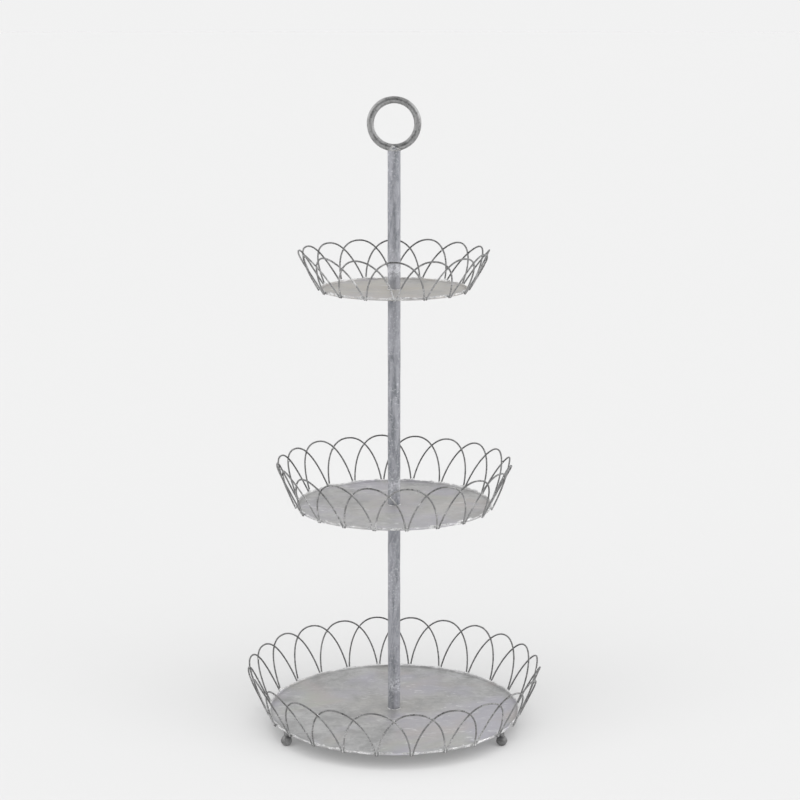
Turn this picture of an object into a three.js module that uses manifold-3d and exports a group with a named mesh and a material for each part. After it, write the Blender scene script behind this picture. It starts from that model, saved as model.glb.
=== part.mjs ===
// Three-tier cake stand in galvanised steel: round lipped trays on a three-piece tube, a gallery of
// crossed wire hoops round each tray, a ring to carry it by and three ball feet.
// Millimetres, +Z up. The origin is on the ground under the middle of the tube.

import * as THREE from 'three';
import { mergeVertices } from 'three/addons/utils/BufferGeometryUtils.js';
import Module from 'manifold-3d';

const wasm = await Module();
wasm.setup();

// Driving dimensions

const tiers = [
  // radius: outside of the lip; below: clear height under the tray; count: hoops round the tray;
  // flare and rise: how far a hoop's top stands outside the lip and above the tray's underside, at
  // the middle of its wire; turn: degrees from the front to the first hoop's middle
  { name: 'bottom', radius: 128.4, below: 15.6, count: 24, flare: 20.8, rise: 49.4, turn: 7.5 },
  { name: 'middle', radius: 98.2, below: 215.6, count: 20, flare: 19.4, rise: 45.5, turn: 7 },
  { name: 'top', radius: 73, below: 218.1, count: 16, flare: 20.7, rise: 39.2, turn: 1 },
];

const sheetGauge = 0.8; // steel sheet of the trays
const lipHeight = 2.5; // from the tray's underside to the top of its lip
const lipWall = 1.2; // the sheet is folded back on itself there
const lipBend = 1; // outside radius between plate and lip
const traySides = 40;

const tubeDiameter = 12.7;
const tubeWall = 1.2;
const upperTubeLength = 136.5;
const tubeSides = 20;

const insertLength = 14; // threaded plug pressed into a tube end
const studDiameter = 6;
const pressClearance = 0.05; // on the radius, plug in tube
const threadClearance = 0.1; // on the radius, stud in plug
const holeClearance = 0.25; // on the radius, stud or screw through a tray
const endClearance = 1; // a stud or pin stops this short of the bottom of its hole

const screwHeadDiameter = 11;
const screwHeadHeight = 3.6;
const screwSlotWidth = 1.4;
const screwSlotDepth = 1.6;
const washerDiameter = 20;
const washerThickness = 1.4;

const ringDiameter = 46; // to the middle of the bar
const ringBar = 7;
const ringSteps = 32;
const ringBarSides = 8;
const ringSink = 1.2; // how far the bar sits down into the tube's end
const saddleRise = 3.8; // how far the spigot's head climbs round the bar
const cutGap = 0.3; // left between a piece and the piece that cuts it

const footBall = 11;
const footFlat = 4; // width of the flat that the ball stands on
const footNeck = 5;
const footInset = 4; // from the bottom tray's edge to the middle of each foot
const footAngles = [-150, -30, 90];
const footNames = ['front_left', 'front_right', 'back'];
const footPin = 3;
const footPinDepth = 6; // how deep its hole goes into the ball and neck
const footSides = 12;
const footArcSteps = 7;

const wireDiameter = 1.7;
const wireSides = 5;
const hoopSteps = 10;
const archPower = 2.15; // 2 is half an ellipse, more is squarer
const wireGap = 0.3; // wire to lip, and leg to leg where two hoops meet on a tray
const solderDot = 3.2; // joins two hoops where they cross

// Sizes worked out from them

const tubeRadius = tubeDiameter / 2;
const tubeBore = tubeRadius - tubeWall;
const studRadius = studDiameter / 2;
const wireRadius = wireDiameter / 2;
const ringRadius = ringDiameter / 2;
const barRadius = ringBar / 2;
const ballRadius = footBall / 2;
const pinRadius = footPin / 2;
const studReach = insertLength - endClearance;
const ringCentre = ringRadius + barRadius - ringSink; // above the upper tube's end
const ballCentre = Math.sqrt(ballRadius ** 2 - (footFlat / 2) ** 2);

let height = 0;
for (const tier of tiers) {
  tier.floor = height + tier.below; // underside of the tray
  tier.top = tier.floor + sheetGauge; // what the next tube stands on
  height = tier.top;
}
const [bottomTier, middleTier, topTier] = tiers;
const footCircle = bottomTier.radius - footInset;

// Finishes

const finish = (color, roughness) => new THREE.MeshStandardMaterial({ color, roughness, metalness: 1 });
const zincSheet = finish(0xa3a3a8, 0.5);
const zincTube = finish(0x93949d, 0.45);
const zincWire = finish(0x77787c, 0.42);
const castBall = finish(0x6a6a6e, 0.5);
const brightSteel = finish(0xa8a8aa, 0.3);

// Solids

function toSolid(geometry) {
  const bare = geometry.clone();
  bare.deleteAttribute('normal');
  bare.deleteAttribute('uv');
  const merged = mergeVertices(bare, 1e-4);
  const vertProperties = new Float32Array(merged.attributes.position.array);
  const triVerts = new Uint32Array(merged.index.array);
  return new wasm.Manifold(new wasm.Mesh({ numProp: 3, vertProperties, triVerts }));
}

function toGeometry(solid) {
  const { vertProperties, triVerts } = solid.getMesh();
  const geometry = new THREE.BufferGeometry();
  geometry.setAttribute('position', new THREE.BufferAttribute(vertProperties, 3));
  geometry.setIndex(new THREE.BufferAttribute(triVerts, 1));
  geometry.computeVertexNormals();
  return geometry;
}

// Turns a profile of [radius, height] points about the Z axis. Its outside runs upwards.
function turned(profile, sides) {
  const points = profile.map(([radius, z]) => new THREE.Vector2(radius, z));
  return new THREE.LatheGeometry(points, sides).rotateX(Math.PI / 2);
}

// A ring of rectangular section, closed on itself.
function collar(inside, outside, length, sides) {
  return turned([[inside, 0], [outside, 0], [outside, length], [inside, length], [inside, 0]], sides);
}

function rod(radius, length, sides) {
  return turned([[0, 0], [radius, 0], [radius, length], [0, length]], sides);
}

// Trays

// The profile goes out along the underside, round the bend, up the lip, over its rounded edge and
// back in along the plate.
function trayPlate(tier) {
  const edge = tier.radius;
  const hole = studRadius + holeClearance;
  const soft = lipWall * 0.3;
  const bend = lipBend * (1 - Math.SQRT1_2);
  return turned([
    [hole, 0],
    [edge - lipBend, 0],
    [edge - bend, bend],
    [edge, lipBend],
    [edge, lipHeight - soft],
    [edge - soft, lipHeight],
    [edge - lipWall + soft, lipHeight],
    [edge - lipWall, lipHeight - soft],
    [edge - lipWall - bend, sheetGauge],
    [hole, sheetGauge],
    [hole, 0],
  ], traySides);
}

function footPlace(angle) {
  const turn = THREE.MathUtils.degToRad(angle);
  return [footCircle * Math.cos(turn), footCircle * Math.sin(turn)];
}

// The bottom tray is drilled for the pins of the feet.
function drilledTray(tier) {
  let solid = toSolid(trayPlate(tier));
  for (const angle of footAngles) {
    const [x, y] = footPlace(angle);
    const drill = rod(pinRadius + holeClearance, sheetGauge * 3, footSides);
    solid = solid.subtract(toSolid(drill.translate(x, y, -sheetGauge)));
  }
  return toGeometry(solid);
}

// Tube, plugs and fasteners

function tubeSection(length) {
  return collar(tubeBore, tubeRadius, length, tubeSides);
}

function threadedPlug() {
  return collar(studRadius + threadClearance, tubeBore - pressClearance, insertLength, tubeSides);
}

// A stud through a tray, with a chamfer at each end. Its middle is at the origin.
function trayStud() {
  const half = studReach + sheetGauge / 2;
  const chamfer = studRadius * 0.2;
  return turned([
    [0, -half],
    [studRadius - chamfer, -half],
    [studRadius, chamfer - half],
    [studRadius, half - chamfer],
    [studRadius - chamfer, half],
    [0, half],
  ], tubeSides);
}

// A slotted pan-head screw that points up, with the seat of its head at the origin.
function panScrew() {
  const headRadius = screwHeadDiameter / 2;
  const length = washerThickness + sheetGauge + studReach;
  const blank = turned([
    [0, -screwHeadHeight],
    [headRadius * 0.7, -screwHeadHeight],
    [headRadius * 0.93, -screwHeadHeight * 0.7],
    [headRadius, -screwHeadHeight * 0.3],
    [headRadius, 0],
    [studRadius, 0],
    [studRadius, length],
    [0, length],
  ], tubeSides);
  const slot = new THREE.BoxGeometry(screwHeadDiameter * 1.2, screwSlotWidth, screwSlotDepth * 2);
  slot.translate(0, 0, -screwHeadHeight);
  return toGeometry(toSolid(blank).subtract(toSolid(slot)));
}

// Ring and its spigot

function barRing(bar) {
  return new THREE.TorusGeometry(ringRadius, bar, ringBarSides, ringSteps).rotateX(Math.PI / 2);
}

// What the ring's bar cuts from the pieces that seat it, measured from the upper tube's end.
function ringSeat() {
  return toSolid(barRing(barRadius + cutGap).translate(0, 0, ringCentre));
}

// A plug in the top of the upper tube. Its domed head is cut to seat the ring's bar.
function ringSpigot() {
  const radius = tubeBore - pressClearance;
  const blank = turned([
    [0, -insertLength],
    [radius, -insertLength],
    [radius, 0],
    [radius * 0.86, saddleRise * 0.7],
    [radius * 0.6, saddleRise],
    [0, saddleRise],
  ], tubeSides);
  return toGeometry(toSolid(blank).subtract(ringSeat()));
}

// The upper tube, with its end cut to seat the ring's bar.
function seatedTube(length) {
  const seat = ringSeat().translate([0, 0, length]);
  return toGeometry(toSolid(tubeSection(length)).subtract(seat));
}

// Feet

// A ball on a short neck, bored from above for its pin and flat where it stands.
function ballFoot() {
  const neck = footNeck / 2;
  const bore = pinRadius + threadClearance;
  const boreFloor = bottomTier.floor - footPinDepth;
  const start = Math.asin(footFlat / 2 / ballRadius);
  const end = Math.PI - Math.asin(neck / ballRadius);
  const profile = [[0, 0]];
  for (let step = 0; step <= footArcSteps; step += 1) {
    const angle = start + (end - start) * step / footArcSteps;
    const flatEdge = step === 0;
    profile.push([ballRadius * Math.sin(angle), flatEdge ? 0 : ballCentre - ballRadius * Math.cos(angle)]);
  }
  profile.push([neck, bottomTier.floor], [bore, bottomTier.floor], [bore, boreFloor], [0, boreFloor]);
  return turned(profile, footSides);
}

// Hoops

const signedPower = (value, power) => Math.sign(value) * Math.abs(value) ** power;

// One hoop: a flat arch that leans outwards. Across it follows the cosine and up it follows the sine
// of a half turn, each to the power 2 / archPower. Its right leg bows out and its left leg bows in
// by half a wire, so that each hoop passes outside the next.
class HoopCurve extends THREE.Curve {
  constructor(tier, apexAngle) {
    super();
    const spacing = 2 * Math.PI / tier.count;
    const footRadius = tier.radius + wireGap + wireRadius;
    const spread = spacing - (wireRadius + wireGap / 2) / footRadius;
    this.halfWidth = footRadius * Math.sin(spread);
    this.footDepth = footRadius * Math.cos(spread);
    const rimRadius = tier.radius + tier.flare;
    this.run = rimRadius - this.footDepth;
    this.rise = tier.rise;
    this.floor = tier.floor;
    this.lean = Math.atan2(rimRadius - footRadius, tier.rise);
    this.apexAngle = apexAngle;
  }

  getPoint(part, target = new THREE.Vector3()) {
    const turn = Math.PI * (1 - part);
    const across = signedPower(Math.cos(turn), 2 / archPower);
    const up = Math.abs(Math.sin(turn)) ** (2 / archPower);
    const bow = (wireRadius + wireGap / 2) * Math.sin(Math.PI * across);
    const outwards = this.footDepth + this.run * up + bow * Math.cos(this.lean);
    const sideways = this.halfWidth * across;
    const sin = Math.sin(this.apexAngle);
    const cos = Math.cos(this.apexAngle);
    return target.set(
      outwards * cos - sideways * sin,
      outwards * sin + sideways * cos,
      this.floor + this.rise * up - bow * Math.sin(this.lean),
    );
  }
}

const wireSection = new THREE.Shape(Array.from({ length: wireSides }, (_, side) => {
  const angle = 2 * Math.PI * side / wireSides;
  return new THREE.Vector2(wireRadius * Math.cos(angle), wireRadius * Math.sin(angle));
}));

function hoopSolid(curve) {
  return toSolid(new THREE.ExtrudeGeometry(wireSection, { steps: hoopSteps, extrudePath: curve }));
}

// Where a hoop crosses the one on its right: half a spacing round from its top.
function crossingPoint(curve, spacing) {
  let low = 0.5;
  let high = 1;
  for (let round = 0; round < 40; round += 1) {
    const middle = (low + high) / 2;
    const point = curve.getPoint(middle);
    const turn = Math.atan2(point.y, point.x) - curve.apexAngle;
    const wrapped = Math.atan2(Math.sin(turn), Math.cos(turn));
    if (wrapped < spacing / 2) low = middle;
    else high = middle;
  }
  return curve.getPoint(low);
}

// Two neighbouring hoops, soldered where they cross.
function hoopPair(tier, index) {
  const spacing = 2 * Math.PI / tier.count;
  const firstAngle = THREE.MathUtils.degToRad(tier.turn - 90) + 2 * index * spacing;
  const left = new HoopCurve(tier, firstAngle);
  const right = new HoopCurve(tier, firstAngle + spacing);
  const outer = crossingPoint(left, spacing);
  const bow = wireRadius + wireGap / 2;
  const middleAngle = firstAngle + spacing / 2;
  const dot = new THREE.IcosahedronGeometry(solderDot / 2, 0);
  dot.translate(
    outer.x - bow * Math.cos(left.lean) * Math.cos(middleAngle),
    outer.y - bow * Math.cos(left.lean) * Math.sin(middleAngle),
    outer.z + bow * Math.sin(left.lean),
  );
  return toGeometry(hoopSolid(left).add(hoopSolid(right)).add(toSolid(dot)));
}

// The stand, from the ground up

const stand = new THREE.Group();

function place(name, geometry, material, x = 0, y = 0, z = 0) {
  const mesh = new THREE.Mesh(geometry, material);
  mesh.name = name;
  mesh.position.set(x, y, z);
  stand.add(mesh);
}

footAngles.forEach((angle, index) => {
  const [x, y] = footPlace(angle);
  const pinFloor = bottomTier.floor - footPinDepth + endClearance;
  place(`foot_ball_${footNames[index]}`, ballFoot(), castBall, x, y);
  place(`foot_pin_${footNames[index]}`, rod(pinRadius, bottomTier.top - pinFloor, footSides),
    brightSteel, x, y, pinFloor);
});

place('bottom_tray', drilledTray(bottomTier), zincSheet, 0, 0, bottomTier.floor);
place('middle_tray', trayPlate(middleTier), zincSheet, 0, 0, middleTier.floor);
place('top_tray', trayPlate(topTier), zincSheet, 0, 0, topTier.floor);

const washerHole = studRadius + holeClearance;
const washer = collar(washerHole, washerDiameter / 2, washerThickness, tubeSides);
place('base_washer', washer, brightSteel, 0, 0, bottomTier.floor - washerThickness);
place('base_screw', panScrew(), brightSteel, 0, 0, bottomTier.floor - washerThickness);

const tubes = [
  { name: 'lower_tube', from: bottomTier.top, to: middleTier.floor },
  { name: 'middle_tube', from: middleTier.top, to: topTier.floor },
  { name: 'upper_tube', from: topTier.top, to: topTier.top + upperTubeLength },
];
const [, , upperTube] = tubes;
for (const tube of tubes) {
  const length = tube.to - tube.from;
  const body = tube === upperTube ? seatedTube(length) : tubeSection(length);
  place(tube.name, body, zincTube, 0, 0, tube.from);
  place(`${tube.name}_bottom_plug`, threadedPlug(), brightSteel, 0, 0, tube.from);
  if (tube !== upperTube) {
    place(`${tube.name}_top_plug`, threadedPlug(), brightSteel, 0, 0, tube.to - insertLength);
  }
}
place('middle_tray_stud', trayStud(), brightSteel, 0, 0, middleTier.floor + sheetGauge / 2);
place('top_tray_stud', trayStud(), brightSteel, 0, 0, topTier.floor + sheetGauge / 2);

place('ring_spigot', ringSpigot(), zincTube, 0, 0, upperTube.to);
place('handle_ring', barRing(barRadius), zincTube, 0, 0, upperTube.to + ringCentre);

for (const tier of tiers) {
  for (let index = 0; index < tier.count / 2; index += 1) {
    place(`${tier.name}_hoop_pair_${index + 1}`, hoopPair(tier, index), zincWire);
  }
}

export default stand;
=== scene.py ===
import math
import bpy
import numpy as np
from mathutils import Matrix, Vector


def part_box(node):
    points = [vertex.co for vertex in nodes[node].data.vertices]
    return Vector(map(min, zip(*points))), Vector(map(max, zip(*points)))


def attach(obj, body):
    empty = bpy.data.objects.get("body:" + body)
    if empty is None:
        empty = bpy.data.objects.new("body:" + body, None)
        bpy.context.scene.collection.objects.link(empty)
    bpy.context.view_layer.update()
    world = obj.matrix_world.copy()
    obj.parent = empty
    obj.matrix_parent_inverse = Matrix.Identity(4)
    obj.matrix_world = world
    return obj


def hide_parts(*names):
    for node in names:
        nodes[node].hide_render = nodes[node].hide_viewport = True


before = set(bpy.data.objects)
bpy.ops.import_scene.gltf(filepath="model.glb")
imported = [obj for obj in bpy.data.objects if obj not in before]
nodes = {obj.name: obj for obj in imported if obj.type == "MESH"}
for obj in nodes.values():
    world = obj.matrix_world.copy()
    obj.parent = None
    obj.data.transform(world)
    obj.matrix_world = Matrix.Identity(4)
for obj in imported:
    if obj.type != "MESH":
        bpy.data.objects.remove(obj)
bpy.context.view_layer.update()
print("frame loaded:", len(nodes), "nodes")

# Everything is in metres. The stand is straight up the Z axis and its front is towards -Y.


# A patch is a grid of points, rows by columns, with quads between neighbours. Looped columns close
# it across, looped rows close it along, and its first and last rows can be closed to a point.
def patch(points, loopColumns=True, loopRows=False, closeEnds=False):
    rows, columns = points.shape[:2]
    index = np.arange(rows * columns).reshape(rows, columns)
    if loopColumns:
        index = np.hstack([index, index[:, :1]])
    if loopRows:
        index = np.vstack([index, index[:1]])
    quads = np.stack([index[:-1, :-1], index[:-1, 1:], index[1:, 1:], index[1:, :-1]], axis=-1)
    corners = points.reshape(-1, 3)
    faces = quads.reshape(-1, 4).tolist()
    if closeEnds:
        middles = np.stack([points[0].mean(axis=0), points[-1].mean(axis=0)])
        corners = np.vstack([corners, middles])
        first, last = rows * columns, rows * columns + 1
        faces += np.stack([index[0, 1:], index[0, :-1], np.full(columns, first)], axis=-1).tolist()
        faces += np.stack([index[-1, :-1], index[-1, 1:], np.full(columns, last)], axis=-1).tolist()
    return corners, faces


# One object from several patches. The attributes are numbers at its points, for its material.
def makePiece(name, patches, material, replaced=(), attributes=None):
    corners, faces, start = [], [], 0
    for points, patchFaces in patches:
        corners.append(points)
        faces += [[corner + start for corner in face] for face in patchFaces]
        start += len(points)
    mesh = bpy.data.meshes.new(name)
    mesh.from_pydata(np.vstack(corners).tolist(), [], faces)
    mesh.shade_smooth()
    for label, values in (attributes or {}).items():
        layer = mesh.attributes.new(label, "FLOAT", "POINT")
        layer.data.foreach_set("value", np.asarray(values, np.float32))
    mesh.materials.append(material)
    piece = bpy.data.objects.new(name, mesh)
    bpy.context.scene.collection.objects.link(piece)
    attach(piece, "root")
    if replaced:
        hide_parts(*replaced)
    return piece


# Points on an arc: the centre plus the radius times the cosine and sine of an angle.
def arc(centre, radius, startDegrees, endDegrees, steps):
    angle = np.radians(np.linspace(startDegrees, endDegrees, steps))
    return np.stack([centre[0] + radius * np.cos(angle), centre[1] + radius * np.sin(angle)], axis=1)


# A profile of (radius, height) carried round the Z axis: x and y are the radius times the cosine
# and sine of the turn.
def turnedGrid(profile, sides):
    turn = np.linspace(0, 2 * np.pi, sides, endpoint=False)
    radius, height = profile[:, :1], profile[:, 1:]
    x = radius * np.cos(turn)
    y = radius * np.sin(turn)
    z = height + 0 * turn
    return np.stack([x, y, z], axis=-1)


# Slow unevenness, about -1 to 1: the mean of a few sine waves with random directions and phases.
def unevenness(points, wavelength, seed, waves=9):
    rng = np.random.default_rng(seed)
    total = 0
    for _ in range(waves):
        direction = rng.normal(size=3)
        direction *= 2 * np.pi / wavelength * rng.uniform(0.6, 1.5) / np.linalg.norm(direction)
        total = total + np.sin(points @ direction + rng.uniform(0, 2 * np.pi))
    return total / math.sqrt(waves)


# A round bar along a path of points: at each point a circle across the path, whose frame is the
# tangent, a steady guide direction made square to it, and their cross product.
def barGrid(path, radius, sides, guide, looped=False):
    if looped:
        tangent = np.roll(path, -1, axis=0) - np.roll(path, 1, axis=0)
    else:
        tangent = np.gradient(path, axis=0)
    tangent /= np.linalg.norm(tangent, axis=1, keepdims=True)
    side = guide - (guide * tangent).sum(axis=1, keepdims=True) * tangent
    side /= np.linalg.norm(side, axis=1, keepdims=True)
    up = np.cross(tangent, side)
    angle = np.linspace(0, 2 * np.pi, sides, endpoint=False)
    ring = np.cos(angle)[None, :, None] * side[:, None] + np.sin(angle)[None, :, None] * up[:, None]
    radius = np.broadcast_to(np.asarray(radius, float), len(path))
    return path[:, None] + ring * radius[:, None, None]


# A small kit for a node tree, so that each finish below reads as a recipe.
class Recipe:
    def __init__(self, tree):
        self.tree = tree

    # Links a node's output to a socket, or sets the socket to a plain value.
    def feed(self, socket, value):
        if isinstance(value, bpy.types.NodeSocket):
            self.tree.links.new(value, socket)
        else:
            socket.default_value = value

    def node(self, kind, settings=None, **values):
        made = self.tree.nodes.new(kind)
        for key, value in (settings or {}).items():
            setattr(made, key, value)
        for key, value in values.items():
            self.feed(made.inputs[key], value)
        return made

    def maths(self, operation, first, second):
        made = self.node("ShaderNodeMath", {"operation": operation})
        self.feed(made.inputs[0], first)
        self.feed(made.inputs[1], second)
        return made.outputs["Value"]

    def times(self, first, second):
        return self.maths("MULTIPLY", first, second)

    # The first times its share, plus the second times its share.
    def sumOf(self, first, firstShare, second, secondShare):
        return self.maths("ADD", self.times(first, firstShare), self.times(second, secondShare))

    def blend(self, share, first, second):
        made = self.node("ShaderNodeMix", {"data_type": "RGBA"})
        self.feed(made.inputs[0], share)
        self.feed(made.inputs[6], first)
        self.feed(made.inputs[7], second)
        return made.outputs[2]


# One material. Patterns lie on the piece's own coordinates.
class Finish(Recipe):
    def __init__(self, name):
        self.material = bpy.data.materials.new(name)
        self.material.use_nodes = True
        super().__init__(self.material.node_tree)
        self.shader = self.tree.nodes["Principled BSDF"]
        self.place = self.node("ShaderNodeTexCoord").outputs["Object"]

    def stretched(self, x, y, z, turn=0.0):
        return self.node("ShaderNodeMapping", Vector=self.place, Scale=(x, y, z),
                         Rotation=(0, 0, turn)).outputs["Vector"]

    def noise(self, scale, detail=4.0, roughness=0.55, distortion=0.0, vector=None):
        return self.node("ShaderNodeTexNoise", Vector=vector or self.place, Scale=scale, Detail=detail,
                         Roughness=roughness, Distortion=distortion).outputs["Fac"]

    # Carries a number smoothly from one range to another, and clamps it.
    def span(self, value, low, high, toLow=0.0, toHigh=1.0):
        ranges = {"From Min": low, "From Max": high, "To Min": toLow, "To Max": toHigh}
        settings = {"interpolation_type": "SMOOTHSTEP"}
        return self.node("ShaderNodeMapRange", settings, Value=value, **ranges).outputs["Result"]

    def attribute(self, name):
        return self.node("ShaderNodeAttribute", {"attribute_name": name}).outputs["Fac"]

    def bump(self, height, strength, distance):
        return self.node("ShaderNodeBump", Height=height, Strength=strength,
                         Distance=distance).outputs["Normal"]

    def finish(self, colour, roughness, normal, metallic):
        wanted = {"Base Color": colour, "Roughness": roughness, "Normal": normal, "Metallic": metallic}
        for key, value in wanted.items():
            self.feed(self.shader.inputs[key], value)
        return self.material


def grey(level):
    return (level, level, level, 1)


# Galvanised sheet: clouds and mottling in several greys, pale smears, a few fine scratches, warm
# stains where the warm attribute says, worn bright along the lip, and painted shade in the crease
# inside the lip and round the tube.
sheetLook = {"dark": 0.36, "mid": 0.54, "pale": 0.75, "violet": (0.485, 0.475, 0.53, 1),
             "brown": (0.51, 0.475, 0.465, 1), "olive": (0.48, 0.495, 0.445, 1),
             "warm": (0.50, 0.475, 0.435, 1), "metallic": 0.75}


def sheetFinish():
    look = sheetLook
    zinc = Finish("galvanisedSheet")
    clouds = zinc.noise(24, detail=6, roughness=0.62, distortion=0.9)
    streaks = zinc.noise(1, detail=6, roughness=0.7, distortion=2.2,
                         vector=zinc.stretched(30, 80, 60, 0.15))
    scratches = zinc.noise(1, detail=3, roughness=0.5, distortion=0.6,
                           vector=zinc.stretched(14, 330, 60, -0.1))
    fine = zinc.noise(420, detail=3)
    mottle = zinc.noise(85, detail=5, roughness=0.7, distortion=1.6)
    tone = zinc.span(zinc.sumOf(clouds, 0.55, mottle, 0.45), 0.36, 0.63)
    colour = zinc.blend(tone, grey(look["dark"]), grey(look["mid"]))
    violet = zinc.span(zinc.noise(15, detail=2), 0.46, 0.66, 0, 0.75)
    colour = zinc.blend(violet, colour, look["violet"])
    brown = zinc.span(zinc.noise(11, detail=3, distortion=0.5), 0.52, 0.68, 0, 0.75)
    colour = zinc.blend(brown, colour, look["brown"])
    olive = zinc.span(zinc.noise(9, detail=2, distortion=0.8), 0.56, 0.72, 0, 0.8)
    colour = zinc.blend(olive, colour, look["olive"])
    warm = zinc.times(zinc.attribute("warm"), zinc.span(clouds, 0.35, 0.6, 0.35, 1.0))
    colour = zinc.blend(warm, colour, look["warm"])
    places = zinc.span(zinc.noise(17, detail=1), 0.42, 0.62, 0.25, 1.0)
    smears = zinc.times(zinc.span(streaks, 0.55, 0.69, 0, 0.9), places)
    colour = zinc.blend(smears, colour, grey(look["pale"]))
    colour = zinc.blend(zinc.span(scratches, 0.64, 0.74, 0, 0.3), colour, grey(look["dark"] * 0.6))
    broken = zinc.span(zinc.noise(210, detail=4, roughness=0.7), 0.40, 0.62, 0.1, 1.0)
    wear = zinc.times(zinc.attribute("edgeWear"), broken)
    colour = zinc.blend(wear, colour, grey(look["pale"] * 1.3))
    # Painted shade: a darker grey in the crease inside the lip and on the plate round the tube's foot.
    paintedShade = zinc.times(zinc.attribute("paintedShade"), 0.3)
    colour = zinc.blend(paintedShade, colour, grey(look["dark"] * 0.4))
    roughness = zinc.span(zinc.sumOf(clouds, 0.7, fine, 0.3), 0.3, 0.7, 0.36, 0.56)
    relief = zinc.sumOf(fine, 0.2, streaks, 0.6)
    return zinc.finish(colour, roughness, zinc.bump(relief, 0.35, 0.0006), look["metallic"])


# Galvanised tube: blue-grey with flakes of light, dark smears in places, flaky near its foot, and
# painted shade at its foot and under the ring.
tubeLook = {"dark": (0.175, 0.185, 0.20, 1), "mid": (0.39, 0.393, 0.425, 1),
            "pale": (0.74, 0.745, 0.78, 1), "shadeTone": 0.11, "metallic": 0.8}


def tubeFinish():
    look = tubeLook
    zinc = Finish("galvanisedTube")
    blotches = zinc.noise(1, detail=5, roughness=0.68, distortion=0.6,
                          vector=zinc.stretched(150, 150, 38))
    flakes = zinc.noise(430, detail=5, roughness=0.72)
    smears = zinc.noise(1, detail=5, roughness=0.62, distortion=0.4,
                        vector=zinc.stretched(260, 260, 34))
    colour = zinc.blend(zinc.span(blotches, 0.3, 0.62), look["dark"], look["mid"])
    flaky = zinc.span(zinc.noise(14, detail=2), 0.42, 0.6, 0.25, 1.0)
    light = zinc.times(zinc.span(flakes, 0.53, 0.66, 0, 0.7), flaky)
    colour = zinc.blend(light, colour, look["pale"])
    smeared = zinc.times(zinc.span(zinc.noise(16, detail=1), 0.42, 0.6), 0.55)
    dark = zinc.times(zinc.span(smears, 0.52, 0.68), smeared)
    colour = zinc.blend(dark, colour, look["dark"])
    wear = zinc.times(zinc.attribute("edgeWear"), zinc.span(flakes, 0.4, 0.6, 0.1, 0.9))
    colour = zinc.blend(wear, colour, look["pale"])
    # Painted shade: near black at the tube's foot and, patchily, at its head under the ring.
    colour = zinc.blend(zinc.times(zinc.attribute("paintedShade"), 0.7), colour, grey(look["shadeTone"]))
    roughness = zinc.span(blotches, 0.3, 0.7, 0.3, 0.5)
    relief = zinc.sumOf(flakes, 0.4, blotches, 0.6)
    return zinc.finish(colour, roughness, zinc.bump(relief, 0.35, 0.0004), look["metallic"])


# The ring, balls, solder, weld and fasteners share one recipe: a speckled grey between two tones.
def speckledFinish(name, dark, pale, scale, metallic, rough, relief=0.0003):
    zinc = Finish(name)
    speckle = zinc.noise(scale, detail=5, roughness=0.65, distortion=0.4)
    drift = zinc.noise(scale * 0.12, detail=3)
    tone = zinc.sumOf(speckle, 0.6, drift, 0.4)
    colour = zinc.blend(zinc.span(tone, 0.38, 0.62), grey(dark), grey(pale))
    roughness = zinc.span(speckle, 0.3, 0.7, *rough)
    return zinc.finish(colour, roughness, zinc.bump(speckle, 0.4, relief), metallic)


# Drawn wire: dark grey, lighter where it is rubbed and, as painted light, towards the front, with
# stretches that are partly worn bright and partly painted highlights.
wireLook = {"dark": 0.12, "mid": 0.23, "rubbedAndLit": 0.42, "worn": 0.78, "metallic": 0.9}


def wireFinish():
    look = wireLook
    zinc = Finish("galvanisedWire")
    speckle = zinc.noise(420, detail=4, roughness=0.65)
    wornAndGlintStretches = zinc.span(zinc.noise(62, detail=3, roughness=0.6), 0.48, 0.60)
    flecks = zinc.span(speckle, 0.36, 0.56, 0.15, 1.0)
    colour = zinc.blend(zinc.span(speckle, 0.38, 0.62), grey(look["dark"]), grey(look["mid"]))
    # The worn attribute is partly wear on the lower legs and partly painted light, lighter towards the
    # front.
    share = zinc.attribute("worn")
    colour = zinc.blend(zinc.times(share, 0.8), colour, grey(look["rubbedAndLit"]))
    # Pale stretches: partly worn bright, partly painted highlights.
    worn = zinc.times(zinc.times(wornAndGlintStretches, flecks), share)
    colour = zinc.blend(worn, colour, grey(look["worn"]))
    roughness = zinc.span(speckle, 0.3, 0.7, 0.24, 0.4)
    return zinc.finish(colour, roughness, zinc.bump(speckle, 0.3, 0.0002), look["metallic"])


zincSheet = sheetFinish()
zincTube = tubeFinish()
zincWire = wireFinish()
zincRing = speckledFinish("galvanisedRing", 0.2, 0.4, 300, 0.9, (0.26, 0.42))
zincBall = speckledFinish("darkBall", 0.15, 0.33, 330, 0.8, (0.34, 0.5))
solder = speckledFinish("solder", 0.42, 0.8, 700, 0.75, (0.25, 0.45), relief=0.0006)
weld = speckledFinish("weld", 0.26, 0.6, 800, 0.8, (0.28, 0.45), relief=0.0006)
platedSteel = speckledFinish("platedSteel", 0.45, 0.6, 500, 1.0, (0.25, 0.35))
print("finishes made")


trayShape = {"sheet": 0.0008, "lipWall": 0.0012, "bend": 0.001, "hole": 0.00325, "sides": 256,
             "rings": 34, "dent": 0.00016, "dentLength": 0.055, "clamped": 0.008, "fade": 0.02,
             "ripple": 0.00012, "tubeSide": 0.0064, "stain": 0.4, "stainWidth": 0.055}


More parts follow.
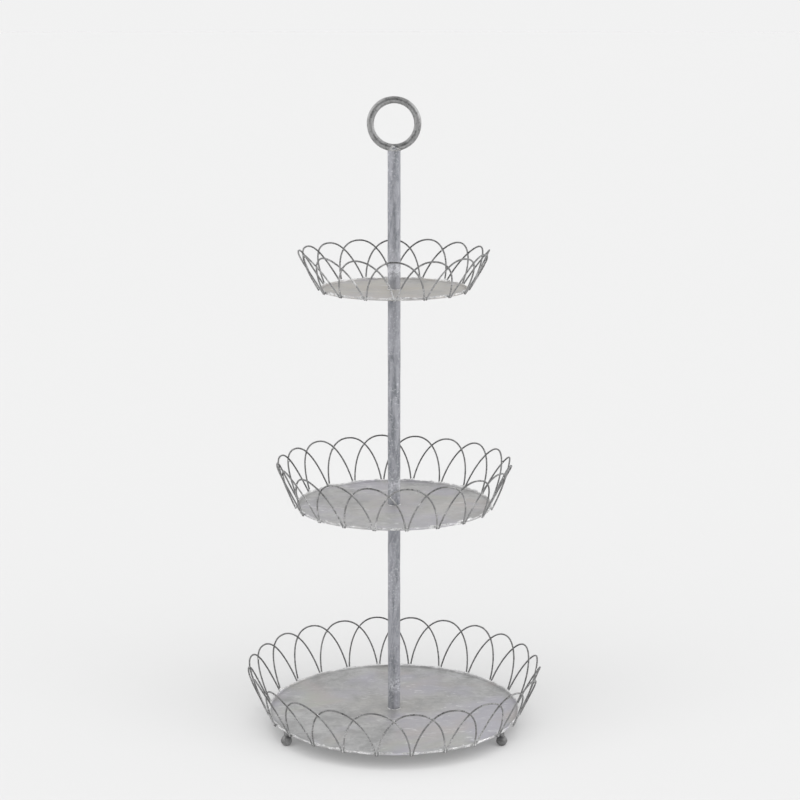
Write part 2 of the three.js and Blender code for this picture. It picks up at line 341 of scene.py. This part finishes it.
# The profile goes out under the sheet, round the bend, up the folded lip, over its round edge, down
# to the plate and in to the hole. Dents follow the slow unevenness, and fade at lip and hole. A warm
# stain falls off round the tube as e to the minus (radius / width) squared.
def makeTray(name, node, seed, warmth):
    shape = trayShape
    low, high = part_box(node)
    edge, floor, top = high.x, low.z, high.z
    half = shape["lipWall"] / 2
    plate = floor + shape["sheet"]
    inner = edge - shape["lipWall"]
    rings = shape["rings"]
    under = np.stack([np.linspace(shape["hole"], edge - shape["bend"], rings),
                      np.full(rings, floor)], axis=1)
    bend = arc((edge - shape["bend"], floor + shape["bend"]), shape["bend"], -90, 0, 7)[1:]
    roundEdge = arc((edge - half, top - half), half, 0, 180, 9)
    fillet = arc((inner - half, plate + half), half, 0, -90, 6)
    across = np.stack([np.linspace(inner - half, shape["hole"], rings),
                       np.full(rings, plate)], axis=1)[1:]
    profile = np.vstack([under, bend, roundEdge, fillet, across])
    grid = turnedGrid(profile, shape["sides"])
    radius = np.hypot(grid[..., 0], grid[..., 1])
    fade = np.clip((inner - radius) / shape["fade"], 0, 1)
    fade *= np.clip((radius - shape["clamped"]) / shape["fade"], 0, 1)
    grid[..., 2] += shape["dent"] * fade * unevenness(grid * [1, 1, 0], shape["dentLength"], seed)
    ripple = shape["ripple"] * unevenness(grid * [1, 1, 0], 0.02, seed + 1)
    lift = np.clip((grid[..., 2] - plate) / (top - plate), 0, 1)
    grid[..., 2] += ripple * lift
    broken = np.clip(0.55 + 0.7 * unevenness(grid * [1, 1, 0], 0.016, seed + 2), 0, 1)
    edgeWear = np.clip((radius - inner + 0.0008) / 0.0012, 0, 1) * np.clip(lift * 1.5, 0, 1) * broken
    # Painted shade: darker in the crease at the foot of the lip, and on the plate round the tube.
    paintedShade = np.exp(-((radius - inner + 0.0004) / 0.0009) ** 2) * (1 - lift)
    paintedShade *= grid[..., 2] > floor + shape["sheet"] / 2
    paintedShade += 0.5 * np.exp(-np.clip(radius - shape["tubeSide"], 0, 1) / 0.0008)
    warm = warmth + shape["stain"] * np.exp(-(radius / shape["stainWidth"]) ** 2)
    return makePiece(name, [patch(grid, loopRows=True)], zincSheet, [node],
                     {"edgeWear": edgeWear.ravel(), "paintedShade": np.clip(paintedShade, 0, 1).ravel(),
                      "warm": warm.ravel()})


makeTray("bottomTray", "bottom_tray", 11, 0.0)
makeTray("middleTray", "middle_tray", 12, 0.1)
makeTray("topTray", "top_tray", 13, 0.6)
print("trays made")


tubeShape = {"bore": 0.00515, "chamfer": 0.0004, "sides": 96, "rows": 120, "uneven": 0.00009,
             "slimmed": 0.01, "seatGap": 0.0001, "wornHeight": 0.022, "wornLength": 0.013}


# The ring's bar as a torus in the XZ plane: its path's radius, its bar's radius and its middle.
ringLow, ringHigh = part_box("handle_ring")
barRadius = (ringHigh.y - ringLow.y) / 2
pathRadius = (ringHigh.x - ringLow.x) / 2 - barRadius
ringMiddle = (ringLow.z + ringHigh.z) / 2


# Height of the bar's underside over a point: the middle less the root of (path + root of (bar squared
# less y squared)) squared less x squared. Beside the bar there is no limit.
def barUnderside(x, y):
    half = np.sqrt(np.clip(barRadius ** 2 - y ** 2, 0, None))
    under = ringMiddle - np.sqrt((pathRadius + half) ** 2 - x ** 2)
    return np.where(np.abs(y) < barRadius, under, np.inf)


# The profile goes up the outside and down the bore, with a chamfer at each edge. Its top is cut to
# the ring's bar.
def makeTube(name, node, seed):
    shape = tubeShape
    low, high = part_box(node)
    outside = high.x
    cut = shape["chamfer"]
    heights = np.linspace(low.z + cut, high.z - cut, shape["rows"])
    outer = np.stack([np.full_like(heights, outside), heights], axis=1)
    inner = np.stack([np.full(2, shape["bore"]), [high.z, low.z]], axis=1)
    profile = np.vstack([[outside - cut, low.z], outer, [outside - cut, high.z], inner])
    grid = turnedGrid(profile, shape["sides"])
    onOutside = (np.hypot(grid[..., 0], grid[..., 1]) > outside - 2 * cut)[..., None]
    swell = shape["uneven"] * unevenness(grid * [1, 1, 0.25], 0.012, seed)[..., None]
    grid[..., :2] *= 1 + onOutside * (swell / outside - shape["slimmed"])
    seat = barUnderside(grid[..., 0], grid[..., 1]) - shape["seatGap"]
    grid[..., 2] = np.minimum(grid[..., 2], seat)
    fromFoot = grid[..., 2] - low.z
    fromHead = high.z - grid[..., 2]
    patchy = np.clip(0.5 + 0.8 * unevenness(grid, 0.02, seed + 3), 0, 1)
    worn = np.exp(-((fromFoot - shape["wornHeight"]) / shape["wornLength"]) ** 2)
    edgeWear = worn * (0.25 + 0.75 * patchy)
    # Painted shade: darker at the foot, where the tube meets the tray, and patchily at the head under
    # the ring.
    paintedShade = 0.4 * np.exp(-fromFoot / 0.0015) + 0.5 * np.exp(-fromHead / 0.003) * patchy
    return makePiece(name, [patch(grid, loopRows=True)], zincTube, [node],
                     {"edgeWear": edgeWear.ravel(), "paintedShade": np.clip(paintedShade, 0, 1).ravel()})


footBead = {"thickness": 0.00042, "uneven": 0.00014, "steps": 120, "sides": 8}


# A thin uneven bead of solder round the tube's foot: a bar carried round a circle.
def makeFootBead(name, node, seed):
    low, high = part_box(node)
    turn = np.linspace(0, 2 * np.pi, footBead["steps"], endpoint=False)
    circle = np.stack([np.cos(turn), np.sin(turn), 0 * turn], axis=1)
    lumpy = unevenness(circle * 0.02, 0.012, seed)
    path = circle * (high.x + 0.0001) + [0, 0, low.z + 0.0002]
    thickness = footBead["thickness"] + footBead["uneven"] * lumpy
    bar = barGrid(path, thickness, footBead["sides"], np.array([0, 0, 1.0]), looped=True)
    makePiece(name, [patch(bar, loopRows=True)], solder)


for seed, part in enumerate(("lower", "middle", "upper"), 21):
    makeTube(f"{part}Tube", f"{part}_tube", seed)
    makeFootBead(f"{part}Bead", f"{part}_tube", seed + 10)


ringShape = {"sides": 28, "steps": 160}


# A closed bar whose path is a circle in the XZ plane, a little thinned and thickened.
def makeRing():
    turn = np.linspace(0, 2 * np.pi, ringShape["steps"], endpoint=False)
    x = pathRadius * np.cos(turn)
    z = ringMiddle + pathRadius * np.sin(turn)
    path = np.stack([x, 0 * turn, z], axis=1)
    thickness = barRadius * (1 + 0.02 * np.sin(3 * turn + 1) + 0.012 * np.sin(7 * turn))
    bar = barGrid(path, thickness, ringShape["sides"], np.array([0.0, 1.0, 0.0]), looped=True)
    makePiece("handleRing", [patch(bar[:, ::-1], loopRows=True)], zincRing, ["handle_ring"])


makeRing()
print("tube and ring made")


# A lump of solder or weld: a sphere scaled along and across the joint, made uneven.
def solderLump(centre, outward, size, seed, rows=8, columns=12):
    polar = np.linspace(0.12, np.pi - 0.12, rows)[:, None]
    around = np.linspace(0, 2 * np.pi, columns, endpoint=False)
    ball = np.stack([np.sin(polar) * np.cos(around), np.sin(polar) * np.sin(around),
                     np.cos(polar) + 0 * around], axis=-1)
    ball = ball * (1 + 0.18 * unevenness(ball, 2.2, seed, waves=5))[..., None]
    side = np.cross([0, 0, 1.0], outward)
    across, depth, tall = size
    placed = (ball[..., :1] * outward * depth + ball[..., 1:2] * side * across
              + ball[..., 2:] * np.array([0, 0, tall]))
    return patch(centre + placed[::-1], closeEnds=True)


weldShape = {"bead": 0.0011, "lumps": 9, "halfWidth": 0.0056, "climb": 0.0034}


# Lumps of weld in two rows, front and back: along the tube's edge, and up on to the bar's face.
def makeWeld():
    rng = np.random.default_rng(51)
    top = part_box("upper_tube")[1]
    lumps = []
    for facing in (-1, 1):
        outward = np.array([0, facing, 0.0])
        for place in np.linspace(-1, 1, weldShape["lumps"]):
            x = weldShape["halfWidth"] * place + rng.uniform(-0.0003, 0.0003)
            wall = facing * math.sqrt(max(top.x ** 2 - x ** 2, 0.0012 ** 2)) * 0.92
            bead = weldShape["bead"] * rng.uniform(0.75, 1.25)
            centre = np.array([x, wall, top.z + rng.uniform(-0.0004, 0.0003)])
            lumps.append(solderLump(centre, outward, (bead, bead * 0.7, bead * 0.8), 500 + len(lumps)))
            climb = weldShape["climb"] * (1 - 0.55 * place ** 2) * rng.uniform(0.7, 1.1)
            onBar = np.array([x * 0.9, facing * barRadius * 0.98, top.z + climb * 0.6])
            size = (bead * 1.1, bead * 0.8, climb * 0.62)
            lumps.append(solderLump(onBar, outward, size, 500 + len(lumps)))
    makePiece("ringWeld", lumps, weld)


makeWeld()


hoopShape = {"wire": 0.00085, "gap": 0.0003, "power": 2.15, "sides": 12, "steps": 84,
             "sway": 0.0006, "stretch": 0.0007, "dot": 0.0010, "smears": 8}
galleries = {
    "bottom": {"count": 24, "rim": 0.1492, "rise": 0.0494, "turn": 7.5, "wear": 0.75},
    "middle": {"count": 20, "rim": 0.1176, "rise": 0.0455, "turn": 7, "wear": 0.85},
    "top": {"count": 16, "rim": 0.0937, "rise": 0.0392, "turn": 1, "wear": 1.25},
}


# A flat arch that leans outwards: across it follows the cosine and up it the sine of a half turn,
# each to the power 2 / power. Its right leg bows out and its left leg bows in by half a wire.
def hoopPath(gallery, edge, floor, apexAngle, rng):
    shape = hoopShape
    clear = shape["wire"] + shape["gap"] / 2
    footRadius = edge + shape["gap"] + shape["wire"]
    spread = 2 * np.pi / gallery["count"] - clear / footRadius
    halfTurn = np.linspace(np.pi, 0, shape["steps"])
    cosine = np.cos(halfTurn)
    across = np.sign(cosine) * np.abs(cosine) ** (2 / shape["power"])
    up = np.abs(np.sin(halfTurn)) ** (2 / shape["power"])
    lean = math.atan2(gallery["rim"] - footRadius, gallery["rise"])
    bow = clear * np.sin(np.pi * across)
    depth = footRadius * math.cos(spread)
    outwards = depth + (gallery["rim"] - depth) * up + bow * math.cos(lean)
    swayed = shape["sway"] * rng.uniform(-1, 1) * up
    taller = shape["stretch"] * rng.uniform(-1, 1) * up
    sideways = footRadius * math.sin(spread) * across + swayed
    height = floor + gallery["rise"] * up - bow * math.sin(lean) + taller
    cos, sin = math.cos(apexAngle), math.sin(apexAngle)
    return np.stack([outwards * cos - sideways * sin, outwards * sin + sideways * cos, height], axis=1)


# A dot of solder where a hoop crosses the next: the point of its right leg that is half a spacing
# round from its top, moved in by half a wire.
def crossingDot(path, apexAngle, spacing, seed):
    leg = path[len(path) // 2:]
    turned = np.angle((leg[:, 0] + 1j * leg[:, 1]) * np.exp(-1j * apexAngle))
    last = int(np.argmax(turned)) + 1
    point = np.array([np.interp(spacing / 2, turned[:last], leg[:last, axis]) for axis in range(3)])
    middle = apexAngle + spacing / 2
    outward = np.array([math.cos(middle), math.sin(middle), 0])
    dot = hoopShape["dot"]
    size = (dot, dot, dot * 1.3)
    return solderLump(point - outward * hoopShape["wire"], outward, size, seed, rows=6, columns=8)


# How worn and lit a wire is, 0 to 1: share times a front part that falls with y, which is painted
# light, less as the wire climbs, which is wear on the lower legs.
def wireWearAndPaintedLight(path, floor, rise, share):
    climb = np.clip((path[:, 2] - floor) / rise, 0, 1)
    # Painted light: the wires at the front are made lighter, falling off with y.
    front = np.clip(0.55 - path[:, 1] / 0.12, 0.12, 1)
    worn = np.clip(share * front * (1 - 0.75 * climb), 0, 1)
    return np.concatenate([np.repeat(worn, hoopShape["sides"]), worn[[0, -1]]])


# The least and the most of each size of a lump of solder. Smears swing to either side of a foot by a
# share of the spacing, and hang down from the rim by up to their drop.
footSolder = {"tall": (0.0013, 0.0024), "across": (0.0015, 0.0026), "depth": (0.0009, 0.0012)}
rimSmear = {"across": (0.0014, 0.006), "depth": (0.0004, 0.0009), "tall": (0.0004, 0.0011),
            "swing": 0.22, "drop": 0.0018}


# The hoops in soldered pairs, the solder where they meet the lip, and the smears of it along the rim.
def makeGallery(name, seed):
    shape, gallery = hoopShape, galleries[name]
    low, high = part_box(f"{name}_tray")
    edge, floor, top = high.x, low.z, high.z
    rng = np.random.default_rng(seed)
    shares = gallery["wear"] * np.random.default_rng(seed + 50).uniform(0.45, 1.0, gallery["count"])
    spacing = 2 * np.pi / gallery["count"]
    start = math.radians(gallery["turn"] - 90)
    lumps = []
    for pair in range(gallery["count"] // 2):
        wires, worn = [], []
        for step in range(2):
            apexAngle = start + (2 * pair + step) * spacing
            path = hoopPath(gallery, edge, floor, apexAngle, rng)
            guide = np.array([math.cos(apexAngle), math.sin(apexAngle), 0])
            wires.append(patch(barGrid(path, shape["wire"], shape["sides"], guide), closeEnds=True))
            worn.append(wireWearAndPaintedLight(path, floor, gallery["rise"], shares[2 * pair + step]))
            lumps.append(crossingDot(path, apexAngle, spacing, seed * 300 + 2 * pair + step))
        makePiece(f"{name}Hoops{pair + 1}", wires, zincWire,
                  [f"{name}_hoop_pair_{pair + 1}"], {"worn": np.concatenate(worn)})
    for base in range(gallery["count"]):
        angle = start + base * spacing
        outward = np.array([math.cos(angle), math.sin(angle), 0])
        tall = rng.uniform(*footSolder["tall"])
        centre = outward * (edge + shape["wire"] * 1.5) + [0, 0, floor + tall - 0.0002]
        size = (rng.uniform(*footSolder["across"]), rng.uniform(*footSolder["depth"]), tall)
        lumps.append(solderLump(centre, outward, size, seed * 100 + base))
        for smear in range(shape["smears"]):
            swing = rng.normal(0, rimSmear["swing"]) * spacing
            aside = np.array([math.cos(angle + swing), math.sin(angle + swing), 0])
            height = top - rng.uniform(0, rimSmear["drop"]) * (smear > 1)
            size = [rng.uniform(*rimSmear[measure]) for measure in ("across", "depth", "tall")]
            inwards = 0.0006 if smear < 2 else 0.0001
            centre = aside * (edge - inwards) + [0, 0, height]
            label = seed * 300 + shape["smears"] * base + smear
            lumps.append(solderLump(centre, aside, size, label, rows=6, columns=10))
    makePiece(f"{name}Solder", lumps, solder)


makeGallery("bottom", 31)
makeGallery("middle", 32)
makeGallery("top", 33)
print("galleries made")


footShape = {"ball": 0.0055, "flat": 0.002, "neck": 0.0025, "sides": 48}


# Turned: the flat, then the ball's arc, then the neck, which flares a little under the tray.
def makeFoot(name, node, seed):
    shape = footShape
    low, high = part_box(node)
    middle = ((low.x + high.x) / 2, (low.y + high.y) / 2)
    centre = low.z + math.sqrt(shape["ball"] ** 2 - shape["flat"] ** 2)
    start = math.degrees(math.asin(shape["flat"] / shape["ball"])) - 90
    end = 90 - math.degrees(math.asin(shape["neck"] / shape["ball"]))
    flat = np.array([[0.0006, low.z], [0.0013, low.z]])
    ball = arc((0, centre), shape["ball"], start, end, 22)
    neckFoot = ball[-1, 1]
    rise = np.linspace(0, 1, 7)[1:]
    flare = shape["neck"] + 0.0007 * rise ** 3
    neck = np.stack([flare, neckFoot + (high.z - neckFoot) * rise], axis=1)
    grid = turnedGrid(np.vstack([flat, ball, neck]), shape["sides"])
    grid[..., :2] *= 1 + 0.012 * unevenness(grid + seed, 0.006, seed)[..., None]
    grid[..., :2] += middle
    makePiece(name, [patch(grid, closeEnds=True)], zincBall, [node])


makeFoot("footFrontLeft", "foot_ball_front_left", 41)
makeFoot("footFrontRight", "foot_ball_front_right", 42)
makeFoot("footBack", "foot_ball_back", 43)

for label, node in nodes.items():
    if not node.hide_render:
        node.data.materials.clear()
        node.data.materials.append(zincTube if label == "ring_spigot" else platedSteel)
print("feet and fasteners made")


# A plain pale floor, a white tent all round, and one wide soft light from above and in front.
studio = {"floor": 60.0, "floorSides": 96, "floorTone": 0.436, "floorGlow": 0.16, "backdrop": 0.884,
          "even": 0.5, "side": 1.2, "right": 0.15, "top": 0.3, "front": 0.6, "matt": 0.6,
          "sun": 5.3, "sunWidth": 112, "sunTilt": 50}


def makeStage():
    turn = np.linspace(0, 2 * np.pi, studio["floorSides"], endpoint=False)
    radius = np.array([0.01, 1.0, 5.0, studio["floor"]])[:, None]
    grid = np.stack([radius * np.cos(turn), radius * np.sin(turn), 0 * radius * turn], axis=-1)
    corners, faces = patch(grid)
    mesh = bpy.data.meshes.new("floor")
    middle = list(range(studio["floorSides"]))
    mesh.from_pydata(corners.tolist(), [], [face[::-1] for face in faces] + [middle])
    paper = bpy.data.materials.new("palePaper")
    paper.use_nodes = True
    shader = paper.node_tree.nodes["Principled BSDF"]
    shader.inputs["Base Color"].default_value = grey(studio["floorTone"])
    shader.inputs["Roughness"].default_value = 0.9
    shader.inputs["Specular IOR Level"].default_value = 0.0
    shader.inputs["Emission Color"].default_value = grey(1.0)
    shader.inputs["Emission Strength"].default_value = studio["floorGlow"]
    mesh.materials.append(paper)
    floor = bpy.data.objects.new("floor", mesh)
    bpy.context.scene.collection.objects.link(floor)


# Light from all round, uneven as in a tent of white cloth: brighter at both sides and overhead than
# behind the viewer. Brightness is even + side * x squared + right * x + top * z + front * y of the
# direction, with z above 0 and y below 0. Matt surfaces get a share of it, the sun does the rest.
def makeWorld():
    world = bpy.data.worlds.new("whiteTent")
    world.use_nodes = True
    tent = Recipe(world.node_tree)
    direction = tent.node("ShaderNodeTexCoord").outputs["Generated"]
    x, y, z = tent.node("ShaderNodeSeparateXYZ", Vector=direction).outputs
    side = tent.times(tent.times(x, x), studio["side"])
    right = tent.times(x, studio["right"])
    top = tent.times(tent.maths("MAXIMUM", z, 0.0), studio["top"])
    front = tent.times(tent.maths("MINIMUM", y, 0.0), studio["front"])
    total = tent.maths("ADD", tent.maths("ADD", side, right), tent.maths("ADD", top, front))
    total = tent.maths("MAXIMUM", tent.maths("ADD", total, studio["even"]), 0.02)
    rays = tent.node("ShaderNodeLightPath").outputs
    share = tent.maths("SUBTRACT", 1.0, tent.times(rays["Is Diffuse Ray"], 1 - studio["matt"]))
    backdrop = grey(studio["backdrop"])
    brightness = tent.blend(rays["Is Camera Ray"], tent.times(total, share), backdrop)
    background = tent.tree.nodes["Background"]
    tent.tree.links.new(brightness, background.inputs["Color"])
    bpy.context.scene.world = world


makeStage()
makeWorld()
bpy.context.scene.view_settings.view_transform = "Standard"
sun = bpy.data.lights.new("softLight", "SUN")
sun.energy = studio["sun"]
sun.angle = math.radians(studio["sunWidth"])
lamp = bpy.data.objects.new("softLight", sun)
lamp.rotation_euler = (math.radians(studio["sunTilt"]), 0, 0)
lamp.visible_glossy = False
bpy.context.scene.collection.objects.link(lamp)

viewpoint = {"lens": 86.6, "distance": 1.8817, "height": 0.7233, "pitch": 11.51, "shift": 0.0074}
cameraData = bpy.data.cameras.new("camera")
cameraData.lens = viewpoint["lens"]
cameraData.sensor_width = 36
cameraData.shift_x = viewpoint["shift"]
camera = bpy.data.objects.new("camera", cameraData)
camera.location = (0, -viewpoint["distance"], viewpoint["height"])
camera.rotation_euler = (math.radians(90 - viewpoint["pitch"]), 0, 0)
bpy.context.scene.collection.objects.link(camera)
bpy.context.scene.camera = camera
print("stage made")
